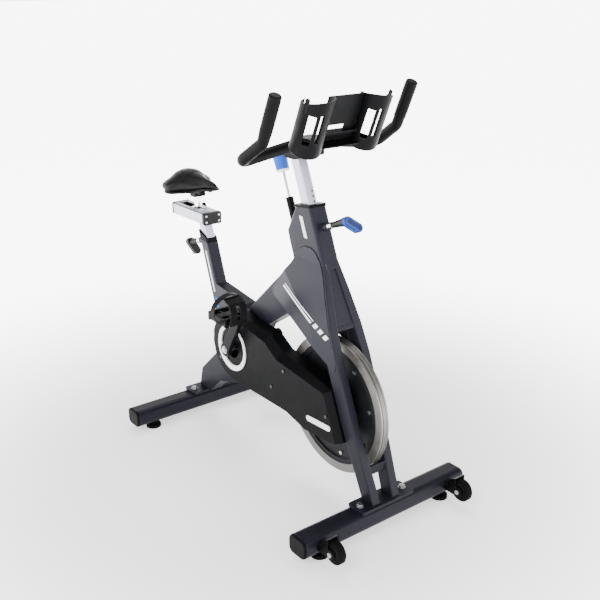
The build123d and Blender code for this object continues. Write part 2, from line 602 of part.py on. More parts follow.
crown = saddle_crown(1, 0.68) + saddle_crown(0.66, 1)
cushion = (crown & extrude(Plane.XY.offset(760) * saddle_plan(1), amount=120)) - below
base_low = [(x, z - 6.5) for x, z in under_line]
base_zone = side_plate([(x, z - 0.3) for x, z in under_line] + base_low[::-1], -100, 100)
saddle_base = extrude(Plane.XY.offset(740) * saddle_plan(0.93), amount=120) & base_zone
rails = clamp - clamp_bore + rail[0] + rail[1] + stands[0] + stands[1] + stands[2] + stands[3]
above = side_plate(base_low + [(-300, 900), (-640, 900)], -100, 100)
save("saddle_base", (rails - above) + saddle_base)
save("saddle_cushion", cushion)


# ================= handlebar =================
bar_post = head_plane * Box(post_x, post_y, 800)
bar_post = fillet(bar_post.edges().filter_by(lambda e: abs(e.tangent_at(0.5).Z) > 0.8), 10)
bar_post = bar_post & slab(-300, 600, -100, 100, post_low, post_top)
for i in range(9):
    d = 206 - 15 * i
    bar_post -= head_plane * (Pos(post_x / 2, 3, d) * Rot(0, 90, 0) * Cylinder(3.2, 14))
save("handlebar_post", bar_post)

half_bar = [bar_tip, bar_elbow, bar_corner, bar_mid]
right_half = [(x, -y, z) for x, y, z in half_bar]
line = FilletPolyline(*right_half, *half_bar[::-1], radius=30)
profile = Plane(origin=line @ 0, z_dir=line % 0)
bar = sweep(profile * Circle(bar_r), path=line)
grips = []
for s in (-1, 1):
    lo = Vector(bar_elbow[0], s * bar_elbow[1], bar_elbow[2])
    hi = Vector(bar_tip[0], s * bar_tip[1], bar_tip[2])
    up = (hi - lo).normalized()
    grip = rod(lo + up * 26, hi + up * 4, bar_r + grip_t)
    grip = fillet(grip.edges().filter_by(GeomType.CIRCLE).sort_by(Axis.Z)[-1], 5)
    grips.append(grip - rod(lo + up * 10, hi, bar_r))
save("handlebar", bar)
save("bar_grips", *grips)
bar_clamp = side_plate([(56, 984), (104, 984), (150, 998), (150, 1032), (108, 1034), (62, 1016)], -34, 34)
bar_clamp = rounded(bar_clamp, Axis.Y, 6) - bar - bar_post

# Moulded tray: two bottle cups, a centre panel and a floor, leaning forward at the top.
tray_plane = Plane(origin=(tray_x, 0, tray_z), x_dir=(cos(radians(tray_lean)), 0, -sin(radians(tray_lean))),
                   z_dir=(sin(radians(tray_lean)), 0, cos(radians(tray_lean))))
low = (Align.CENTER, Align.CENTER, Align.MIN)


def cup(y):
    """A bottle cup with a slanted rim, two slots in front, an open back and an ear on its outer side."""
    out = 1 if y > 0 else -1
    tall = cup_h + 60
    body = Cylinder(cup_r, tall, align=low)
    body = Pos(0, y, 0) * fillet(body.edges().filter_by(GeomType.CIRCLE).sort_by(Axis.Z)[0], 8)
    room = Pos(0, y, cup_wall) * Cylinder(cup_r - cup_wall, tall, align=low)
    rim_cut = Pos(0, y, cup_h + 18) * Rot(0, 0, -20 * out) * Rot(0, -23, 0) * Box(200, 200, 120, align=low)
    window = Pos(0, y, 0) * Rot(0, 0, -37) * Pos(-cup_r, 0, 100) * Box(34, 60, 180)
    body = body - room - rim_cut - window
    for angle, width, z0, z1 in ((-46, 20, 36, 122), (-10, 12, 48, 128)):
        body -= Pos(0, y, 0) * Rot(0, 0, angle) * Pos(cup_r, 0, (z0 + z1) / 2) * Box(24, width, z1 - z0)
    ear = Box(5, 12, 44, align=low)
    ear = fillet(ear.edges().filter_by(Axis.X).group_by(Axis.Z)[-1], 4)
    ear = Pos(0, y, 0) * Rot(0, 0, 80 * out) * Pos(cup_r - 2, 0, cup_h - 16) * ear
    return body + (ear - room), room


cups, rooms = zip(cup(-cup_y), cup(cup_y))
panel_u, inner_half = -6, cup_y - cup_r + 4
panel = Pos(panel_u, 0, 68) * Box(4, 2 * inner_half, 84, align=low)
lower = Pos(panel_u, 0, 20) * Box(4, 2 * inner_half, 34, align=low)
floor_plate = Pos(panel_u + 14, 0, 20) * Box(40, 2 * inner_half, 4, align=low)
ledge = Pos(panel_u + 6, 0, 48) * Box(16, 2 * inner_half, 5, align=low)
posts = [Pos(panel_u, y, 50) * Box(4, w, 20, align=low) for y, w in ((-54, 10), (39, 40))]
tray = cups[0] + cups[1] + panel + lower + floor_plate + ledge + posts[0] + posts[1]
for room in rooms:
    tray -= room
tray = tray_plane * tray
bracket = side_plate([(104, 1030), (150, 1030), (205, 1030), (215, 1044), (152, 1048), (108, 1048)], -32, 32)
bar_clamp = (bar_clamp + bracket) - bar - bar_post - tray
save("bar_clamp", bar_clamp.solids().sort_by(SortBy.VOLUME)[-1])
save("bottle_tray", tray - bar)


# ================= pull pins =================
def pull_pin(plane, depth, reach, turn, drop, sag):
    """Spring pin with a threaded boss, chrome collar and a turned paddle; plane Z points outwards."""
    boss = plane * (Cylinder(12, 26, align=low)) - plane * (Cylinder(6 + run, 60))
    shank = Pos(0, 0, -depth) * Cylinder(6, 30 + depth, align=low)
    chrome = Pos(0, 0, 26.5) * Cylinder(10, 18, align=low)
    neck = Pos(0, 0, 44.5) * Cone(8, 13, reach - 44, align=low)
    paddle = Pos(0, 0, reach) * extrude(Rot(0, 0, 90) * SlotOverall(64, 26), amount=20)
    paddle = fillet(paddle.edges().group_by(Axis.Z)[-1], 4)
    dish = Pos(0, 0, reach + 17) * extrude(Rot(0, 0, 90) * SlotOverall(50, 13), amount=4)
    hang = Pos(0, sag, 0) * Rot(0, 0, turn) * Pos(0, drop, 0)
    paddle = hang * (paddle - dish)
    inlay = hang * (Pos(0, 0, reach + 17) * extrude(Rot(0, 0, 90) * SlotOverall(49.9, 12.9), amount=1.5))
    return boss, plane * (shank + chrome), plane * (neck + paddle), plane * inlay


lean = atan(rake)
head_pin_plane = Plane(origin=(fork_front(806), 0, 806), x_dir=(0, 1, 0), z_dir=(cos(lean), 0, sin(lean)))
seat_pin_plane = Plane(origin=(seat_x(628, -25), 0, 628), x_dir=(0, 1, 0),
                       z_dir=(-cos(seat_slope), 0, -sin(seat_slope)))
bosses = []
front_wall = (fork_front_at_floor - head_axis_at_floor) * cos(lean)
pin_depth = {"head": front_wall - post_x / 2 - 0.3,  # the pins press on the posts, 0.3 short of them at rest
             "seat": (seat_tube_x * cos(seat_slope) - seat_post_x) / 2 - 0.3}
for name, plane in (("head", head_pin_plane), ("seat", seat_pin_plane)):
    reach, turn, drop, sag = (106, 52, -8, -7) if name == "head" else (88, -26, 10, 5)
    boss, pin, paddle, inlay = pull_pin(plane, pin_depth[name], reach, turn, drop, sag)
    bosses.append(boss)
    save(f"{name}_pin", pin)
    save(f"{name}_paddle", paddle, inlay)
head_pin_hole = head_pin_plane * Cylinder(6 + run, 90)
seat_pin_hole = seat_pin_plane * Cylinder(6 + run, 50)
save("head_tube", (head_body + bosses[0]) - head_pin_hole)
save("seat_tube", (seat_tube + (bosses[1] - seat_block)) - seat_pin_hole)
save("tube_collars", head_collar, seat_collar - bosses[1] - seat_pin_hole)

# ================= resistance control =================
sleeve = rod(on_rod(862), on_rod(776), 11) - rod(on_rod(900), on_rod(770), rod_r + run) - head
save("resistance_sleeve", sleeve.solids().sort_by(SortBy.VOLUME)[-1])
rod_end_z = 515
save("resistance_rod", rod(on_rod(940), on_rod(rod_end_z), rod_r))
main_rod = rod(on_rod(940), on_rod(rod_end_z), rod_r)
rod_dir = Vector(rod_slope, 0, -1).normalized()
pad_plane = Plane(origin=on_rod(rod_end_z), x_dir=(0, 1, 0), z_dir=rod_dir)
shoe = pad_plane * (Box(22, 44, 34, align=low))
save("brake_shoe", shoe - cyl_y(wheel_x, wheel_z, wheel_r + 5, -40, 40))
knob_low, knob_high = Vector(*on_rod(936)), Vector(*on_rod(985))
knob_body = rod(knob_low, knob_high, 19, 21)
knob_body = fillet(knob_body.edges().filter_by(GeomType.CIRCLE).sort_by(Axis.Z)[-1], 6)
for i in range(8):
    a = 45 * i
    knob_plane = Plane(origin=knob_low, x_dir=(0, 1, 0), z_dir=(knob_high - knob_low).normalized())
    knob_body -= knob_plane * (Rot(0, 0, a) * Pos(24, 0, 26) * Cylinder(4.5, 60))
knob_ring = rod(knob_low - (knob_high - knob_low).normalized() * 5, knob_low, 19) - main_rod
save("resistance_knob", (knob_body + knob_ring) - main_rod)

print(len(made), "nodes")
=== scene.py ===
import json
import math

import bmesh
import bpy
from mathutils import Matrix, Vector
from mathutils.bvhtree import BVHTree


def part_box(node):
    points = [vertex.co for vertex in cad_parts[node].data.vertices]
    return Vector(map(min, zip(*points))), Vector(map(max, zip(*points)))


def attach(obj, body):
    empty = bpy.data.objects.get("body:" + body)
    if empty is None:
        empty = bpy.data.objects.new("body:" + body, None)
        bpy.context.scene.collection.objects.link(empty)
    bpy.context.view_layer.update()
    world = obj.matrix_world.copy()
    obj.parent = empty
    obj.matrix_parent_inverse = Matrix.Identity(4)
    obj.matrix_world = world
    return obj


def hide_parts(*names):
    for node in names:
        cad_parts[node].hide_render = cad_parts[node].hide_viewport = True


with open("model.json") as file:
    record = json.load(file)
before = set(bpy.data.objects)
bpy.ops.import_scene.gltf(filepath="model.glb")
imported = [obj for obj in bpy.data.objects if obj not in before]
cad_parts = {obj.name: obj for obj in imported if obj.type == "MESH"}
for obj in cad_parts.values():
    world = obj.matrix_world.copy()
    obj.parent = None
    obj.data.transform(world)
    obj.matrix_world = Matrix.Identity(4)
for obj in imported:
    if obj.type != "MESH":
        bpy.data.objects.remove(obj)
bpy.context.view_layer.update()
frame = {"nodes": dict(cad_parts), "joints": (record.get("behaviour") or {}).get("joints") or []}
nodes = frame["nodes"]
scene = bpy.context.scene
joint = {j["name"]: j for j in frame["joints"]}


# ---------------- materials ----------------
def set_input(node, **values):
    for key, value in values.items():
        node.inputs[key.replace("_", " ")].default_value = value


class Surface:
    """A procedural material: base colour with mottling, varied roughness, grain, softened edges and a
    painted highlight that lightens the edges.
    """

    def __init__(self, name, colour, rough, metal=0.0):
        self.mat = bpy.data.materials.new(name)
        self.mat.use_nodes = True
        self.tree = self.mat.node_tree
        self.bsdf = self.tree.nodes["Principled BSDF"]
        set_input(self.bsdf, Roughness=rough, Metallic=metal)
        self.coord = self.node("ShaderNodeTexCoord").outputs["Object"]
        self.colour = self.constant(colour)
        self.rough = None
        self.height = []
        self.base_rough = rough

    def node(self, kind, **fields):
        n = self.tree.nodes.new(kind)
        for key, value in fields.items():
            setattr(n, key, value)
        return n

    def link(self, a, b):
        self.tree.links.new(a, b)

    def constant(self, colour):
        n = self.node("ShaderNodeRGB")
        n.outputs[0].default_value = (*colour, 1)
        return n.outputs[0]

    def scaled(self, stretch):
        n = self.node("ShaderNodeMapping")
        n.inputs["Scale"].default_value = stretch
        self.link(self.coord, n.inputs["Vector"])
        return n.outputs["Vector"]

    def noise(self, scale, detail=3.0, stretch=None, rough=0.55):
        n = self.node("ShaderNodeTexNoise")
        set_input(n, Scale=scale, Detail=detail, Roughness=rough)
        self.link(self.scaled(stretch) if stretch else self.coord, n.inputs["Vector"])
        return n.outputs["Fac"]

    def cells(self, scale, feature="DISTANCE_TO_EDGE", stretch=None):
        n = self.node("ShaderNodeTexVoronoi", feature=feature)
        set_input(n, Scale=scale)
        self.link(self.scaled(stretch) if stretch else self.coord, n.inputs["Vector"])
        return n.outputs["Distance"]

    def math(self, kind, a, b=0.0, clamp=False):
        n = self.node("ShaderNodeMath", operation=kind, use_clamp=clamp)
        for i, v in enumerate((a, b)):
            if isinstance(v, (int, float)):
                n.inputs[i].default_value = v
            else:
                self.link(v, n.inputs[i])
        return n.outputs[0]

    def along(self, direction, origin=(0, 0, 0)):
        """Distance along a direction from an origin."""
        sub = self.node("ShaderNodeVectorMath", operation="SUBTRACT")
        self.link(self.coord, sub.inputs[0])
        sub.inputs[1].default_value = origin
        dot = self.node("ShaderNodeVectorMath", operation="DOT_PRODUCT")
        self.link(sub.outputs[0], dot.inputs[0])
        dot.inputs[1].default_value = direction
        return dot.outputs["Value"]

    def radius_y(self, x, z):
        """Distance from an axis that runs along Y."""
        dx, dz = self.along((1, 0, 0), (x, 0, z)), self.along((0, 0, 1), (x, 0, z))
        square_sum = self.math("ADD", self.math("MULTIPLY", dx, dx), self.math("MULTIPLY", dz, dz))
        return self.math("SQRT", square_sum)

    def ramp(self, value, low, high, out_low=0.0, out_high=1.0):
        n = self.node("ShaderNodeMapRange", interpolation_type="SMOOTHSTEP")
        self.link(value, n.inputs["Value"])
        for key, v in (("From Min", low), ("From Max", high), ("To Min", out_low), ("To Max", out_high)):
            n.inputs[key].default_value = v
        return n.outputs["Result"]

    def mix(self, colour, factor):
        """Mix the colour in where factor is 1."""
        n = self.node("ShaderNodeMix", data_type="RGBA")
        self.link(self.colour, n.inputs[6])
        n.inputs[7].default_value = (*colour, 1)
        if isinstance(factor, (int, float)):
            n.inputs[0].default_value = factor
        else:
            self.link(factor, n.inputs[0])
        self.colour = n.outputs[2]
        return self

    def mottle(self, scale, dark, light, stretch=None):
        """Slow change of lightness over the surface."""
        n = self.node("ShaderNodeHueSaturation")
        self.link(self.ramp(self.noise(scale, 4, stretch), 0.3, 0.7, dark, light), n.inputs["Value"])
        self.link(self.colour, n.inputs["Color"])
        self.colour = n.outputs["Color"]
        return self

    def vary_rough(self, scale, spread, stretch=None):
        r = self.base_rough
        low, high = max(0.02, r - spread), min(1, r + spread)
        self.rough = self.ramp(self.noise(scale, 4, stretch), 0.3, 0.7, low, high)
        return self

    def bump(self, height, strength, distance):
        self.height.append((height, strength, distance))
        return self

    def done(self, edge=0.0, bevel=0.0012, **bsdf):
        normal = None
        if bevel:
            soft = self.node("ShaderNodeBevel")
            set_input(soft, Radius=bevel)
            normal = soft.outputs["Normal"]
            # painted highlight: the colour is lightened towards light grey where the softened normal turns
            # from the flat one, along rounded edges, broken up by noise
            if edge:
                flat = self.node("ShaderNodeNewGeometry").outputs["Normal"]
                dot = self.node("ShaderNodeVectorMath", operation="DOT_PRODUCT")
                self.link(normal, dot.inputs[0])
                self.link(flat, dot.inputs[1])
                painted_edge_highlight = self.ramp(dot.outputs["Value"], 0.99, 0.80, 0.0, edge)
                painted_edge_highlight = self.math("MULTIPLY", painted_edge_highlight, self.ramp(self.noise(60, 4), 0.35, 0.6))
                self.mix((0.45, 0.46, 0.50), painted_edge_highlight)
        for height, strength, distance in self.height:
            b = self.node("ShaderNodeBump")
            set_input(b, Strength=strength, Distance=distance)
            self.link(height, b.inputs["Height"])
            if normal:
                self.link(normal, b.inputs["Normal"])
            normal = b.outputs["Normal"]
        self.link(self.colour, self.bsdf.inputs["Base Color"])
        if self.rough:
            self.link(self.rough, self.bsdf.inputs["Roughness"])
        if normal:
            self.link(normal, self.bsdf.inputs["Normal"])
        set_input(self.bsdf, **bsdf)
        return self.mat


wheel = Vector(joint["flywheel_spin"]["pos_m"])


def paint(name, colour):
    s = Surface(name, colour, 0.38, 0.12)
    s.mottle(7, 0.94, 1.05)
    s.mix(tuple(min(1, 2.2 * c + 0.01) for c in colour), s.ramp(s.cells(1400, "F1"), 0.18, 0.05, 0, 0.35))
    s.vary_rough(14, 0.05).bump(s.noise(420, 2), 0.10, 0.0004)
    return s.done(edge=0.14, bevel=0.0015, Specular_IOR_Level=0.10, Coat_Weight=0.02, Coat_Roughness=0.2)


def moulded(name, colour, rough=0.5, grain=900, depth=0.25, edge=0.10, bevel=0.0010):
    s = Surface(name, colour, rough)
    s.mottle(9, 0.90, 1.08).vary_rough(24, 0.06)
    s.bump(s.noise(grain, 3), depth, 0.0003).bump(s.noise(45, 2), 0.05, 0.001)
    return s.done(edge=edge, bevel=bevel, Specular_IOR_Level=0.05)


def metal(name, colour, rough, lines=(1, 1, 1), depth=0.06):
    s = Surface(name, colour, rough, 1.0)
    s.mottle(20, 0.93, 1.04, lines).vary_rough(60, 0.06, lines)
    s.bump(s.noise(500, 2, lines), depth, 0.0003)
    return s.done(edge=0.0, bevel=0.0008)


frame_paint = paint("frame_paint", (0.0066, 0.0064, 0.0112))
panel_paint = paint("panel_paint", (0.0082, 0.0082, 0.0140))
guard_black = moulded("guard_black", (0.0016, 0.0017, 0.0021), 0.42, 700, 0.35)
black_plastic = moulded("black_plastic", (0.0015, 0.0015, 0.0018), 0.44)
tray_plastic = moulded("tray_plastic", (0.0016, 0.0017, 0.0020), 0.48, 1100, 0.4)
rubber = moulded("black_rubber", (0.0018, 0.0018, 0.0020), 0.70, 600, 0.5)
bar_coat = moulded("bar_coat", (0.0016, 0.0016, 0.0019), 0.52, 1300, 0.5, bevel=0)
trim_white = moulded("trim_white", (0.72, 0.72, 0.74), 0.38, 800, 0.1, edge=0)
chrome = metal("chrome", (0.72, 0.72, 0.75), 0.12, depth=0.03)
steel = metal("zinc_steel", (0.42, 0.42, 0.44), 0.30)
beam_silver = metal("beam_silver", (0.34, 0.34, 0.40), 0.36, (0.06, 1, 1), 0.10)
post_silver = metal("post_silver", (0.34, 0.34, 0.40), 0.34, (1, 1, 0.06), 0.10)
arm_grey = moulded("arm_grey", (0.0035, 0.0035, 0.0042), 0.32, 500, 0.15, edge=0.20)


def turned_rim():
    """Bare machined face with fine concentric tool marks."""
    s = Surface("flywheel_rim", (0.150, 0.145, 0.136), 0.33, 0.75)
    r = s.radius_y(wheel.x, wheel.z)
    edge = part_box("flywheel_rim")[1].z - wheel.z
    tread = s.ramp(r, edge - 0.0045, edge - 0.0030)
    line = s.math("ABSOLUTE", s.math("SUBTRACT", s.math("ABSOLUTE", s.along((0, 1, 0))), 0.0055))
    s.mix((0.03, 0.03, 0.03), s.math("MULTIPLY", tread, s.ramp(line, 0.0014, 0.0006)))
    rings = s.node("ShaderNodeTexNoise", noise_dimensions="1D")
    set_input(rings, Scale=900.0, Detail=2.0)
    s.link(r, rings.inputs["W"])
    s.mottle(9, 0.90, 1.08).vary_rough(30, 0.06)
    s.mix((0.20, 0.19, 0.18), s.ramp(rings.outputs["Fac"], 0.42, 0.25, 0, 0.5))
    s.bump(rings.outputs["Fac"], 0.35, 0.0003)
    return s.done(bevel=0.0010)


def cast_disc():
    s = Surface("flywheel_disc", (0.0050, 0.0052, 0.0062), 0.45, 0.2)
    s.mottle(14, 0.85, 1.15).vary_rough(40, 0.08)
    s.bump(s.noise(260, 4), 0.4, 0.0006)
    return s.done(edge=0.12, Specular_IOR_Level=0.14)


def leather():
    """Grained synthetic leather."""
    s = Surface("saddle_leather", (0.0014, 0.0014, 0.0017), 0.40)
    s.mottle(16, 0.80, 1.20).vary_rough(40, 0.10)
    s.bump(s.ramp(s.cells(420), 0.0, 0.16), 0.35, 0.0005).bump(s.noise(1500, 2), 0.15, 0.0002)
    return s.done(bevel=0, Specular_IOR_Level=0.12, Sheen_Weight=0.01, Sheen_Roughness=0.5)


def paddle(name, neck, face, rim, joint_name, start, end):
    """Moulding in three tones along the pin: a dark neck, the rim of the paddle, and its dished face."""
    s = Surface(name, neck, 0.40)
    j = joint[joint_name]
    depth = s.along(tuple(j["axis"]), tuple(j["pos_m"]))
    s.mix(rim, s.ramp(depth, start, start + 0.001))
    past_floor = s.ramp(depth, end - 0.0036, end - 0.0032)
    before_lip = s.ramp(depth, end - 0.0008, end - 0.0012)
    s.mix(face, s.math("MULTIPLY", past_floor, before_lip))
    s.mottle(30, 0.9, 1.1).vary_rough(40, 0.06)
    s.bump(s.noise(900, 3), 0.2, 0.0003)
    return s.done(edge=0.1, Specular_IOR_Level=0.15)


def webbing():
    """Woven strap over a moulded cage."""
    s = Surface("toe_cage", (0.0030, 0.0030, 0.0034), 0.5)
    s.mottle(20, 0.85, 1.15).vary_rough(30, 0.06)
    weave = s.node("ShaderNodeTexWave", bands_direction="DIAGONAL")
    set_input(weave, Scale=260.0, Distortion=1.0)
    s.link(s.coord, weave.inputs["Vector"])
    s.bump(weave.outputs["Fac"], 0.3, 0.0004)
    return s.done(edge=0.08, bevel=0.0006, Specular_IOR_Level=0.05)


def belt_ribs():
    s = Surface("belt", (0.010, 0.010, 0.010), 0.7)
    ribs = s.math("SINE", s.math("MULTIPLY", s.along((0, 1, 0)), 2 * math.pi / 0.0024))
    s.mottle(20, 0.85, 1.1).vary_rough(30, 0.06).bump(ribs, 0.5, 0.0006)
    return s.done(bevel=0)


def felt_pad():
    s = Surface("brake_felt", (0.16, 0.12, 0.08), 0.95)
    s.mottle(50, 0.7, 1.2).vary_rough(40, 0.04).bump(s.noise(700, 5), 0.8, 0.0010)
    return s.done(bevel=0.001, Sheen_Weight=0.4)


def bolts():
    """Zinc bolts at the base, black screws in the guard."""
    s = Surface("bolts", (0.40, 0.40, 0.42), 0.32)
    high = s.ramp(s.along((0, 0, 1)), 0.18, 0.19)
    s.mix((0.006, 0.006, 0.007), high).mottle(40, 0.9, 1.05).vary_rough(80, 0.06)
    s.link(s.math("SUBTRACT", 1.0, high), s.bsdf.inputs["Metallic"])
    s.bump(s.noise(500, 2), 0.1, 0.0003)
    return s.done(edge=0.0, bevel=0.0006)


rim_mat, disc_mat, leather_mat, cage_mat = turned_rim(), cast_disc(), leather(), webbing()
black = (0.0018, 0.0018, 0.0021)
head_paddle_mat = paddle("head_paddle", black, (0.006, 0.012, 0.050), (0.008, 0.034, 0.165),
                         "head_paddle_turn", 0.010, 0.026)
seat_paddle_mat = paddle("seat_paddle", black, (0.008, 0.008, 0.010), black,
                         "seat_paddle_turn", 0.010, 0.028)


def two_tone(name, base, other, direction, origin, at, rough=0.44, metallic=0.0):
    """Moulded black, with another finish past a plane: screws in a cap, a ring on a knob."""
    s = Surface(name, base, rough)
    side = s.ramp(s.along(direction, origin), at, at + 0.0002)
    s.mix(other, side).mottle(30, 0.9, 1.1).vary_rough(40, 0.05).bump(s.noise(900, 3), 0.2, 0.0003)
    if metallic:
        s.link(s.math("MULTIPLY", side, metallic), s.bsdf.inputs["Metallic"])
    return s.done(edge=0.08, Specular_IOR_Level=0.12)


cap_screws = two_tone("slider_caps", black, (0.35, 0.35, 0.37), (1, 0, 0), tuple(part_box("slider_caps")[1]),
                      -0.0012, metallic=0.9)
knob_axis = joint["resistance_turn"]
knob_blue = two_tone("resistance_knob", (0.62, 0.62, 0.65), (0.012, 0.055, 0.30), tuple(knob_axis["axis"]),
                     tuple(knob_axis["pos_m"]), -0.0305, rough=0.36)

wears = {
    frame_paint: "head_tube fork_leg_left fork_leg_right fork_cover main_beam rear_leg seat_tube "
                 "base_flanges front_stabiliser rear_stabiliser",
    panel_paint: "side_panel_left side_panel_right brace_tube",
    guard_black: "guard_outer guard_inner",
    black_plastic: "tube_collars stabiliser_caps caster_brackets resistance_sleeve saddle_base "
                   "slider_knob bar_clamp pedal_left pedal_right",
    tray_plastic: "bottle_tray",
    rubber: "caster_wheel_left caster_wheel_right foot_front_left foot_front_right foot_rear_left "
            "foot_rear_right",
    bar_coat: "handlebar bar_grips",
    trim_white: "guard_trim",
    knob_blue: "resistance_knob",
    cap_screws: "slider_caps",
    chrome: "head_pin seat_pin slider_carriage",
    bolts(): "fixed_bolts",
    steel: "crank_bearings crank_spindle flywheel_axle flywheel_hub flywheel_bolts resistance_rod",
    beam_silver: "slider_beam",
    post_silver: "seat_post handlebar_post",
    arm_grey: "crank_arm_left crank_arm_right",
    rim_mat: "flywheel_rim",
    disc_mat: "flywheel_disc",
    leather_mat: "saddle_cushion",
    cage_mat: "toe_cage_left toe_cage_right",
    head_paddle_mat: "head_paddle",
    seat_paddle_mat: "seat_paddle",
    belt_ribs(): "drive_belt",
    felt_pad(): "brake_shoe",
}
for mat, names in wears.items():
    for name in names.split():
        data = nodes[name].data
        data.materials.clear()
        data.materials.append(mat)
bare = [n for n, o in nodes.items() if not o.data.materials or o.data.materials[0] not in wears]
if bare:
    raise RuntimeError(f"no finish for {bare}")


# ---------------- pieces made here ----------------
def add_object(name, bm, mat, body, smooth=True):
    mesh = bpy.data.meshes.new(name)
    bm.to_mesh(mesh)
    bm.free()
    obj = bpy.data.objects.new(name, mesh)
    scene.collection.objects.link(obj)
    mesh.materials.append(mat)
    for p in mesh.polygons:
        p.use_smooth = smooth
    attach(obj, body)
    return obj


def tree_of(*names):
    bm = bmesh.new()
    for name in names:
        bm.from_mesh(nodes[name].data)
    tree = BVHTree.FromBMesh(bm)
    bm.free()
    return tree


film_sink = 0.0006                       # how far a film's back reaches into the piece it lies on


def decal(name, body, outline, onto, mat, lift=0.0004, steps=24):
    """A thin film on a right-hand face. The outline is a quad of (x, z) corners, laid on from outside."""
    bm = bmesh.new()
    rows = []
    for i in range(steps + 1):
        u, row = i / steps, []
        for v in (0.0, 1.0):
            a = Vector(outline[0]).lerp(Vector(outline[1]), u)
            b = Vector(outline[3]).lerp(Vector(outline[2]), u)
            p = a.lerp(b, v)
            hit = onto.ray_cast(Vector((p.x, -0.4, p.y)), Vector((0, 1, 0)))[0]
            if hit is None:
                bm.free()
                raise RuntimeError(f"{name}: nothing to lie on at {p}")
            row.append((bm.verts.new(hit + Vector((0, -lift, 0))),
                        bm.verts.new(hit + Vector((0, film_sink, 0)))))
        rows.append(row)
    for r0, r1 in zip(rows, rows[1:]):
        (a, a2), (b, b2) = r0
        (c, c2), (d, d2) = r1
        for quad in ((a, b, d, c), (a2, c2, d2, b2), (a, c, c2, a2), (b, b2, d2, d)):
            bm.faces.new(quad)
    for (a, a2), (b, b2) in (rows[0], rows[-1]):
        bm.faces.new((a, a2, b2, b))
    bmesh.ops.recalc_face_normals(bm, faces=bm.faces[:])
    return add_object(name, bm, mat, body, smooth=False)


film_white = moulded("film_white", (0.66, 0.66, 0.68), 0.42, 900, 0.05, edge=0, bevel=0)
film_blue = moulded("film_blue", (0.020, 0.085, 0.32), 0.40, 900, 0.05, edge=0, bevel=0)


def stripe(p, q, up, low, high, slant=0.0):
    """Corners of a bar from p to q, between two heights above the line, ends slanted."""
    p, q = Vector(p), Vector(q)
    along = (q - p).normalized()
    n = Vector((-along.y, along.x)) * (1 if up else -1)
    return [p + n * low + along * slant * low, q + n * low + along * slant * low,
            q + n * high + along * slant * high, p + n * high + along * slant * high]


seat_axis_at_floor, seat_lean = -0.180, 0.355


def make_markings():
    panel = tree_of("side_panel_right", "brace_tube")
    start, end = Vector((0.050, 0.604)), Vector((0.280, 0.505))
    line = end - start

    def span(a, b, low, high):
        return stripe(start + line * a, start + line * b, True, low, high, 0.5)

    decal("panel_stripe_long", "frame", span(0.0, 0.66, 0.006, 0.013), panel, film_white)
    decal("panel_stripe_thin", "frame", span(0.0, 0.66, 0.019, 0.022), panel, film_white)
    for i in range(3):
        a = 0.70 + 0.10 * i
        decal(f"panel_bar_{i}", "frame", span(a, a + 0.06, 0.006, 0.022), panel, film_white)
    tube = tree_of("seat_tube")

    def seat_at(z, forward):
        return (seat_axis_at_floor - seat_lean * z + forward, z)

    def tube_bar(name, z0, z1, x0, x1, mat):
        decal(name, "frame", [seat_at(z0, x0), seat_at(z1, x0), seat_at(z1, x1), seat_at(z0, x1)], tube, mat)

    tube_bar("seat_stripe_long", 0.470, 0.600, -0.004, 0.004, film_white)
    for i in range(3):
        z = 0.440 - 0.022 * i
        tube_bar(f"seat_bar_{i}", z, z + 0.012, -0.006, 0.006, film_blue)
    head = tree_of("head_tube")
    quad = [(0.142, 0.772), (0.156, 0.772), (0.133, 0.830), (0.119, 0.830)]
    decal("head_bar", "frame", quad, head, film_white, steps=6)


pad_shrink, pad_swell = 0.0045, 0.006    # the block drawn in before the swelling, and the most it swells


def make_saddle():
    """Padded saddle: the cushion's block, swollen by a cloth simulation; its piped edge is added by
    make_piping.
    """
    source = nodes["saddle_cushion"]
    obj = bpy.data.objects.new("saddle_padding", source.data.copy())
    scene.collection.objects.link(obj)
    obj.data.materials.clear()
    obj.data.materials.append(leather_mat)
    bpy.context.view_layer.objects.active = obj
    remesh = obj.modifiers.new("remesh", "REMESH")
    remesh.mode, remesh.voxel_size = "VOXEL", 0.005
    bpy.ops.object.modifier_apply(modifier=remesh.name)
    mesh = obj.data
    normals = [v.normal.copy() for v in mesh.vertices]
    for v, n in zip(mesh.vertices, normals):
        v.co = v.co - n * pad_shrink
    shrunk = [v.co.copy() for v in mesh.vertices]
    cloth = obj.modifiers.new("swell", "CLOTH")
    s = cloth.settings
    s.quality, s.mass = 6, 0.3
    s.use_pressure, s.uniform_pressure_force = True, 4.0
    s.tension_stiffness = s.compression_stiffness = 20
    s.effector_weights.gravity = 0.0
    cloth.point_cache.frame_start, cloth.point_cache.frame_end = 1, 20
    for f in range(1, 21):
        scene.frame_set(f)
    shape = obj.evaluated_get(bpy.context.evaluated_depsgraph_get()).to_mesh()
    moved = [v.co.copy() for v in shape.vertices]
    obj.modifiers.remove(cloth)
    scene.frame_set(1)
    for v, s0, m in zip(mesh.vertices, shrunk, moved):
        step = m - s0
        if step.length > pad_swell:
            step = step.normalized() * pad_swell
        v.co = s0 + step
    smooth = obj.modifiers.new("smooth", "CORRECTIVE_SMOOTH")
    smooth.factor, smooth.iterations, smooth.use_only_smooth = 0.5, 14, True
    bpy.ops.object.modifier_apply(modifier=smooth.name)
    # smoothing shrinks the pad a little: stretch it back to the space its solid holds
    lo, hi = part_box("saddle_cushion")
    for k in range(3):
        low, high = min(v.co[k] for v in mesh.vertices), max(v.co[k] for v in mesh.vertices)
        grow = (hi[k] - lo[k]) / (high - low)
        for v in mesh.vertices:
            v.co[k] = lo[k] + (v.co[k] - low) * grow
    sub = obj.modifiers.new("sub", "SUBSURF")
    sub.levels = sub.render_levels = 1
    for p in mesh.polygons:
        p.use_smooth = True
    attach(obj, "saddle")
    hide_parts("saddle_cushion")
    return obj


